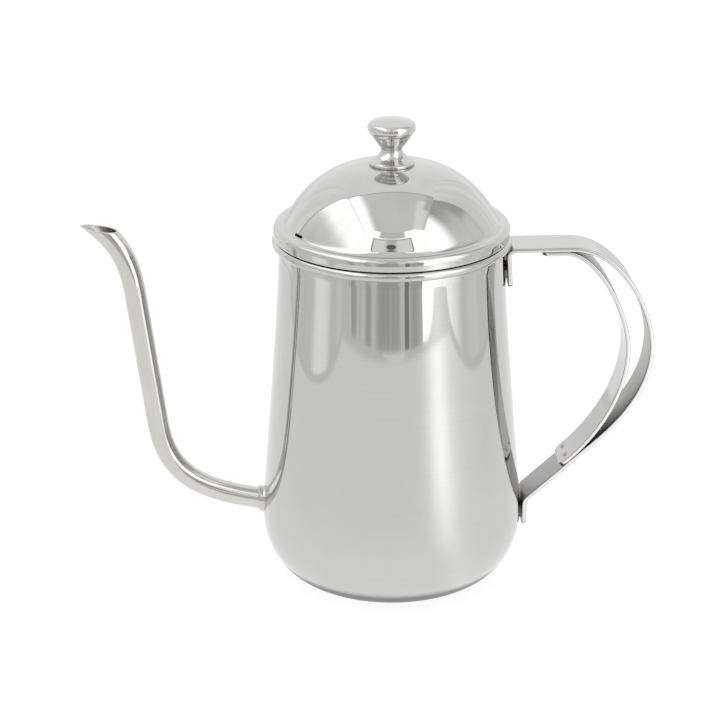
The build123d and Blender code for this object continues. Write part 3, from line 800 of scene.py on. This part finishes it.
# ---------------------------------------------------------------- knob
FOOT_Z = 159.9
HEAD = catmull([(4.95, 167.3), (6.0, 168.75), (6.95, 170.15), (8.25, 171.9), (8.72, 173.55), (8.15, 175.15),
                (6.2, 176.05), (3.2, 176.62), (0, 176.8)], 14)
WAIST = catmull([(7.7, 161.45), (5.7, 162.55), (4.45, 163.95), (3.9, 165.3), (4.25, 166.75)], 12)
LIPK = corner((4.25, 166.75), (4.72, 167.0), (4.95, 167.3), 0.18, 6)
knob_prof = chain(
    np.array([(0.0, 168.6), (2.0, 167.9), (2.0, 160.1)]),
    corner((2.0, 160.1), (2.0, FOOT_Z), (2.4, FOOT_Z), 0.1, 3),
    line((2.4, FOOT_Z), (8.1, FOOT_Z), 8),
    arc((8.1, FOOT_Z + 0.3), 0.3, 270, 360, 7),
    line((8.4, FOOT_Z + 0.3), (8.4, FOOT_Z + 0.85), 4),
    arc((7.98, FOOT_Z + 0.85), 0.42, 0, 82, 9),
    resample(chain(np.array([(8.0, FOOT_Z + 1.29)]), WAIST), 0.22),
    LIPK,
    resample(HEAD, 0.22),
)
g = revolve(knob_prof, 160)
add("lid_knob_visual", g.v, g.f, LID, M_KNOB, ["lid_knob"], 38)

# screw and washer under the crown
ZH = FOOT_Z - 0.8 - 0.8
head = bez((3.9, ZH - 0.9), (3.9, ZH - 1.9), (2.6, ZH - 2.6), (1.2, ZH - 2.6), 14)
screw_prof = chain(np.array([(0.0, ZH - 2.6)]), head[::-1], corner((3.9, ZH - 0.9), (3.9, ZH), (2.0, ZH), 0.15, 4),
                   line((3.6, ZH), (2.0, ZH), 4), np.array([(2.0, ZH + 0.05)]))
threads = []
zt = ZH + 2.0
while zt < 166.9:
    threads += [(2.0, zt), (1.72, zt + 0.3), (2.0, zt + 0.6)]
    zt += 0.7
screw_prof = chain(screw_prof, np.array(threads), np.array([(2.0, 167.0), (1.6, 167.4), (0.0, 167.4)]))
g = revolve(screw_prof, 64)
screw = add("knob_screw_visual", g.v, g.f, LID, M_SCREW, ["knob_screw"], 35)


def slot_tool(w, l, z0, z1):
    me = bpy.data.meshes.new("tool")
    bm = bmesh.new()
    x, y = w / 2, l / 2
    kx, ky = (0.12, 0.48) if l > w else (0.48, 0.12)
    low = [bm.verts.new(Vector(p) * MM) for p in ((-x, -y, z0), (x, -y, z0), (x, y, z0), (-x, y, z0))]
    top = [bm.verts.new(Vector(p) * MM) for p in ((-x + kx, -y + ky, z1), (x - kx, -y + ky, z1), (x - kx, y - ky, z1), (-x + kx, y - ky, z1))]
    bm.faces.new(low[::-1])
    bm.faces.new(top)
    for i in range(4):
        j = (i + 1) % 4
        bm.faces.new((low[i], low[j], top[j], top[i]))
    bm.to_mesh(me)
    bm.free()
    o = bpy.data.objects.new("tool", me)
    bpy.context.scene.collection.objects.link(o)
    return o


cut(screw, [slot_tool(0.95, 4.4, ZH - 2.9, ZH - 1.2), slot_tool(4.4, 0.9501, ZH - 2.9, ZH - 1.2)], 35)
wz = ZH
washer_prof = chain(corner((2.3, wz), (2.02, wz), (2.02, wz + 0.3), 0.08, 3)[::-1], corner((4.5, wz), (4.8, wz), (4.8, wz + 0.3), 0.12, 4),
                    corner((4.8, wz + 0.5), (4.8, wz + 0.8), (4.5, wz + 0.8), 0.12, 4),
                    corner((2.3, wz + 0.8), (2.02, wz + 0.8), (2.02, wz + 0.5), 0.08, 3))
g = revolve(washer_prof, 72)
add("knob_washer_visual", g.v, g.f, LID, M_SCREW, ["knob_washer"], 35)


# ---------------------------------------------------------------- stage
def quad(name, pts, mat, **seen):
    me = bpy.data.meshes.new(name)
    me.from_pydata([tuple(np.array(p) * MM) for p in pts], [], [(0, 1, 2, 3)])
    me.update()
    o = bpy.data.objects.new(name, me)
    bpy.context.scene.collection.objects.link(o)
    me.materials.append(mat)
    for k, v in seen.items():
        setattr(o, "visible_" + k, v)
    return o


CARD = dict(camera=False, diffuse=False, glossy=True, transmission=False, volume_scatter=False, shadow=False)


class Nodes:
    """Short forms for the arithmetic of the studio cards."""

    def __init__(self, mat):
        mat.use_nodes = True
        self.nt = mat.node_tree
        self.nt.nodes.clear()
        self.pos = self.nt.nodes.new("ShaderNodeSeparateXYZ")
        tc = self.nt.nodes.new("ShaderNodeTexCoord")
        self.tc = tc
        self.nt.links.new(tc.outputs["Object"], self.pos.inputs[0])
        self.axis = dict(zip("xyz", self.pos.outputs))

    def put(self, s, sock):
        if isinstance(s, (int, float)):
            sock.default_value = s
        else:
            self.nt.links.new(s, sock)

    def m(self, op, *a):
        n = self.nt.nodes.new("ShaderNodeMath")
        n.operation = op
        for i, s in enumerate(a):
            self.put(s, n.inputs[i])
        return n.outputs[0]

    def ramp(self, v, a, b, lo=0.0, hi=1.0):
        n = self.nt.nodes.new("ShaderNodeMapRange")
        n.interpolation_type = "SMOOTHSTEP"
        n.clamp = True
        self.put(v, n.inputs["Value"])
        n.inputs["From Min"].default_value = a
        n.inputs["From Max"].default_value = b
        n.inputs["To Min"].default_value = lo
        n.inputs["To Max"].default_value = hi
        return n.outputs[0]

    def mix(self, f, a, b):
        n = self.nt.nodes.new("ShaderNodeMix")
        n.data_type = "FLOAT"
        self.put(f, n.inputs[0])
        self.put(a, n.inputs[2])
        self.put(b, n.inputs[3])
        return n.outputs[0]

    def noise(self, scale, detail=2.0, stretch=(1, 1, 1)):
        v = self.nt.nodes.new("ShaderNodeVectorMath")
        v.operation = "MULTIPLY"
        self.nt.links.new(self.tc.outputs["Object"], v.inputs[0])
        v.inputs[1].default_value = stretch
        n = self.nt.nodes.new("ShaderNodeTexNoise")
        n.inputs["Scale"].default_value = scale
        n.inputs["Detail"].default_value = detail
        self.nt.links.new(v.outputs[0], n.inputs["Vector"])
        return n.outputs["Fac"]

    def box(self, soft, **limits):
        """1 inside the given ranges of x, y and z in millimetres, fading over soft outside them."""
        f = None
        for k, (lo, hi) in limits.items():
            for v, a, b in ((lo, lo - soft, lo) if lo is not None else (None,) * 3,
                            (hi, hi + soft, hi) if hi is not None else (None,) * 3):
                if v is None:
                    continue
                r = self.ramp(self.axis[k], a * MM, b * MM)
                f = r if f is None else self.m("MULTIPLY", f, r)
        return f

    def shine(self, value, tint=(1.0, 0.998, 0.992)):
        e = self.nt.nodes.new("ShaderNodeEmission")
        e.inputs["Color"].default_value = (*tint, 1)
        self.put(value, e.inputs["Strength"])
        o = self.nt.nodes.new("ShaderNodeOutputMaterial")
        self.nt.links.new(e.outputs[0], o.inputs["Surface"])


def card_material(name):
    m = bpy.data.materials.new(name)
    m.cycles.emission_sampling = "NONE"
    return m, Nodes(m)


def layered(k, base, layers):
    v = base
    for value, mask in layers:
        v = k.mix(mask, v, value)
    return v


# floor that the camera sees
m = bpy.data.materials.new("floor_paper")
m.use_nodes = True
nt = m.node_tree
nt.nodes.clear()
o_ = nt.nodes.new("ShaderNodeOutputMaterial")
add_ = nt.nodes.new("ShaderNodeAddShader")
em = nt.nodes.new("ShaderNodeEmission")
em.inputs["Strength"].default_value = 0.92
df = nt.nodes.new("ShaderNodeBsdfDiffuse")
df.inputs["Color"].default_value = (0.11, 0.11, 0.11, 1)
nt.links.new(em.outputs[0], add_.inputs[0])
nt.links.new(df.outputs[0], add_.inputs[1])
nt.links.new(add_.outputs[0], o_.inputs["Surface"])
m.cycles.emission_sampling = "NONE"
R = 6000
quad("floor", [(-R, -R, -0.05), (R, -R, -0.05), (R, R, -0.05), (-R, R, -0.05)], m,
     camera=True, diffuse=True, glossy=False, transmission=True, volume_scatter=False, shadow=False)

XL, XR, YF, YB, ZC = -370.0, 380.0, -462.0, 700.0, 790.0

# the paper as polished metal sees it: a painted pool of light close by, a painted contact shadow at the foot, a long
# glare from the lamp at the right front
m, k = card_material("card_paper")
x, y = k.axis["x"], k.axis["y"]
r = k.m("SQRT", k.m("ADD", k.m("MULTIPLY", x, x), k.m("MULTIPLY", y, y)))
ang = k.m("MULTIPLY", k.m("ARCTAN2", x, k.m("MULTIPLY", y, -1.0)), 180 / math.pi)
d = k.m("SUBTRACT", ang, 38.8)


def bell(k, d, s):
    q = k.m("DIVIDE", d, s)
    return k.m("EXPONENT", k.m("MULTIPLY", k.m("MULTIPLY", q, q), -1.0))


left = bell(k, d, 11.0)
right = k.m("ADD", k.m("MULTIPLY", bell(k, d, 9.5), 0.66), k.m("MULTIPLY", bell(k, d, 26.0), 0.34))
side = k.ramp(d, -0.01, 0.01)
glare = k.mix(side, left, right)
gain = k.ramp(r, 0.045, 0.30, 0.10, 0.70)
near = bell(k, r, 0.16)
value = k.m("ADD", 0.985, k.m("MULTIPLY", near, 0.10))
value = k.m("ADD", value, k.m("MULTIPLY", glare, gain))
# painted contact shadow: the paper's glow falls to 0.38 within 39 to 44.5 mm of the axis, under the base
value = k.m("MULTIPLY", value, k.ramp(r, 0.039, 0.0445, 0.38, 1.0))
seam = k.m("MAXIMUM", k.m("MAXIMUM", k.box(8, x=(None, XL + 10)), k.box(8, x=(XR - 12, None))), k.ramp(r, 0.455, 0.468))
value = k.mix(k.m("MULTIPLY", seam, 0.32), value, 0.40)
k.shine(value)
quad("card_paper", [(XL, YF, 0.05), (XR, YF, 0.05), (XR, YB, 0.05), (XL, YB, 0.05)], m, **CARD)

# left wall: cloth lit from outside, brighter upwards; the paper hangs in front of it at the back
m, k = card_material("card_left")
z = k.axis["z"]
fold = k.noise(9.0, 3.0, (1, 1, 0.25))
back = k.m("SUBTRACT", k.axis["y"], k.ramp(z, 0.42, 0.76, 0.0, 0.052))
high = k.m("ADD", k.ramp(z, 0.25, 0.36, 0.84, 0.96), k.ramp(z, 0.35, 0.50, 0.0, 0.86))
v = layered(k, high, [
    (0.82, k.box(60, y=(None, -300), z=(None, 240))),
    (1.12, k.box(50, y=(-150, -80), z=(None, 60))),
    (0.60, k.m("MULTIPLY", k.ramp(z, 0.10, 0.13), k.m("MULTIPLY", k.ramp(back, 0.187, 0.193), k.ramp(back, 0.201, 0.208, 1.0, 0.0)))),
    (0.74, k.box(8, z=(ZC - 9, None))),
    (1.04, k.ramp(back, 0.200, 0.210)),
])
v = k.m("MULTIPLY", v, k.ramp(fold, 0.3, 0.7, 0.94, 1.06))
k.shine(v)
quad("card_left", [(XL, YF, 0), (XL, YB, 0), (XL, YB, ZC), (XL, YF, ZC)], m, **CARD)

# right wall
m, k = card_material("card_right")
z = k.axis["z"]
fold = k.noise(8.0, 3.0, (1, 1, 0.2))
v = layered(k, k.ramp(z, 0.28, 0.70, 0.84, 0.56), [
    (1.90, k.box(150, y=(None, -230), z=(90, None))),
    (k.ramp(k.axis["y"], -0.33, -0.13, 1.60, 0.86), k.box(90, z=(None, 110))),
    (0.52, k.box(70, y=(80, 140), z=(420, None))),
    (0.62, k.box(8, z=(ZC - 9, None))),
    (1.03, k.box(20, y=(155, None))),
])
v = k.m("MULTIPLY", v, k.ramp(fold, 0.3, 0.7, 0.92, 1.08))
k.shine(v)
quad("card_right", [(XR, YF, 0), (XR, YB, 0), (XR, YB, ZC), (XR, YF, ZC)], m, **CARD)

# ceiling: the paper comes over from the back as far as y = 200
m, k = card_material("card_ceiling")
fold = k.noise(6.0, 2.0, (1, 0.3, 1))
back = k.m("SUBTRACT", k.axis["y"], k.ramp(k.axis["x"], XL * MM, -0.16, 0.052, 0.0))
v = layered(k, 0.88, [
    (1.95, k.box(110, x=(None, -300), y=(None, 170))),
    (1.10, k.box(50, x=(250, 330), y=(None, 40))),
    (0.70, k.box(50, x=(330, None), y=(-60, None))),
    (0.60, k.m("MULTIPLY", k.ramp(back, 0.184, 0.190), k.ramp(back, 0.198, 0.206, 1.0, 0.0))),
    (1.05, k.ramp(back, 0.198, 0.208)),
])
v = k.m("MULTIPLY", v, k.ramp(fold, 0.3, 0.7, 0.97, 1.03))
k.shine(v)
quad("card_ceiling", [(XL, YF, ZC), (XL, YB, ZC), (XR, YB, ZC), (XR, YF, ZC)], m, **CARD)

# back wall: the paper rises out of the floor
m, k = card_material("card_back")
k.shine(k.ramp(k.axis["z"], 0.08, 0.26, 0.86, 1.06))
quad("card_back", [(XL, YB, 0), (XR, YB, 0), (XR, YB, ZC), (XL, YB, ZC)], m, **CARD)

# open front, standing on the curved edge of the paper: dim below, bright panels above, a framed lamp over the camera
m, k = card_material("card_front")
x, z = k.axis["x"], k.axis["z"]
stripe = k.noise(16.0, 2.0, (1, 1, 0.12))
low = k.m("MULTIPLY", 0.64, k.ramp(stripe, 0.35, 0.65, 0.80, 1.25))
dx = k.m("DIVIDE", k.m("ADD", x, 0.036), 0.050)
dz = k.m("DIVIDE", k.m("SUBTRACT", z, 0.565), 0.027)
disc = k.ramp(k.m("ADD", k.m("MULTIPLY", dx, dx), k.m("MULTIPLY", dz, dz)), 0.7, 1.25, 1.0, 0.0)
v = layered(k, 1.75, [
    (low, k.box(120, z=(None, 250))),
    (0.30, k.box(6, x=(72, 100), z=(None, 300))),
    (1.80, k.box(8, x=(207, None), z=(None, 300))),
    (0.25, k.box(5, x=(-222, 178), z=(290, 655))),
    (1.08, k.box(4, x=(-212, 168), z=(300, 645))),
    (0.72, k.box(60, x=(-60, -10), z=(310, 636))),
    (0.16, disc),
    (0.78, k.box(34, x=(-150, 105), z=(690, None))),
])
k.shine(v)
rim_xy = [(XL, -372)] + [(475 * math.sin(math.radians(a)), -475 * math.cos(math.radians(a))) for a in range(-41, 32, 4)] + [(XR, -392)]
me = bpy.data.meshes.new("card_front")
me.from_pydata([(px * MM, py * MM, pz * MM) for px, py in rim_xy for pz in (0, ZC)], [],
               [(2 * i, 2 * i + 2, 2 * i + 3, 2 * i + 1) for i in range(len(rim_xy) - 1)])
me.update()
front = bpy.data.objects.new("card_front", me)
bpy.context.scene.collection.objects.link(front)
me.materials.append(m)
for key, seen in CARD.items():
    setattr(front, "visible_" + key, seen)

# world and lamps
w = bpy.data.worlds.new("studio")
bpy.context.scene.world = w
w.use_nodes = True
bg = w.node_tree.nodes.get("Background") or w.node_tree.nodes.new("ShaderNodeBackground")
bg.inputs["Color"].default_value = (1, 1, 1, 1)
bg.inputs["Strength"].default_value = 1.0


def area(name, loc, target, size, energy):
    l = bpy.data.lights.new(name, "AREA")
    l.shape = "RECTANGLE"
    l.size, l.size_y = size
    l.energy = energy
    o = bpy.data.objects.new(name, l)
    bpy.context.scene.collection.objects.link(o)
    o.location = loc
    o.rotation_mode = "QUATERNION"
    o.rotation_quaternion = (Vector(target) - Vector(loc)).to_track_quat("-Z", "Y")
    o.visible_camera = False
    o.visible_glossy = False
    return o


area("soft_top", (0.10, 0.05, 1.2), (0, 0, 0), (1.2, 1.2), 4.0)
area("soft_left", (-1.1, -0.5, 0.9), (0, 0, 0.08), (0.9, 0.9), 3.0)

# ---------------------------------------------------------------- camera
cam = bpy.data.cameras.new("camera")
cam.sensor_width = 36.0
cam.lens = 36.0 * 2663.3 / 720.0
cam.clip_start, cam.clip_end = 0.05, 50.0
co = bpy.data.objects.new("camera", cam)
bpy.context.scene.collection.objects.link(co)
Y_, P_, R_ = math.radians(3.0813), math.radians(21.1287), math.radians(-0.2063)
fwd = Vector((math.sin(Y_) * math.cos(P_), math.cos(Y_) * math.cos(P_), -math.sin(P_)))
right_ = Vector((math.cos(Y_), -math.sin(Y_), 0))
up_ = right_.cross(fwd)
r2 = math.cos(R_) * right_ + math.sin(R_) * up_
u2 = -math.sin(R_) * right_ + math.cos(R_) * up_
loc = Vector((-0.0613, -0.92095, 0.44054))
co.matrix_world = Matrix(((r2.x, u2.x, -fwd.x, loc.x), (r2.y, u2.y, -fwd.y, loc.y), (r2.z, u2.z, -fwd.z, loc.z), (0, 0, 0, 1)))
bpy.context.scene.camera = co

sc = bpy.context.scene
sc.view_settings.view_transform = "Standard"
sc.view_settings.look = "None"
sc.view_settings.exposure = 0.0
sc.view_settings.gamma = 1.0
sc.cycles.max_bounces = 16
sc.cycles.glossy_bounces = 12
sc.cycles.sample_clamp_indirect = 0
sc.cycles.caustics_reflective = True
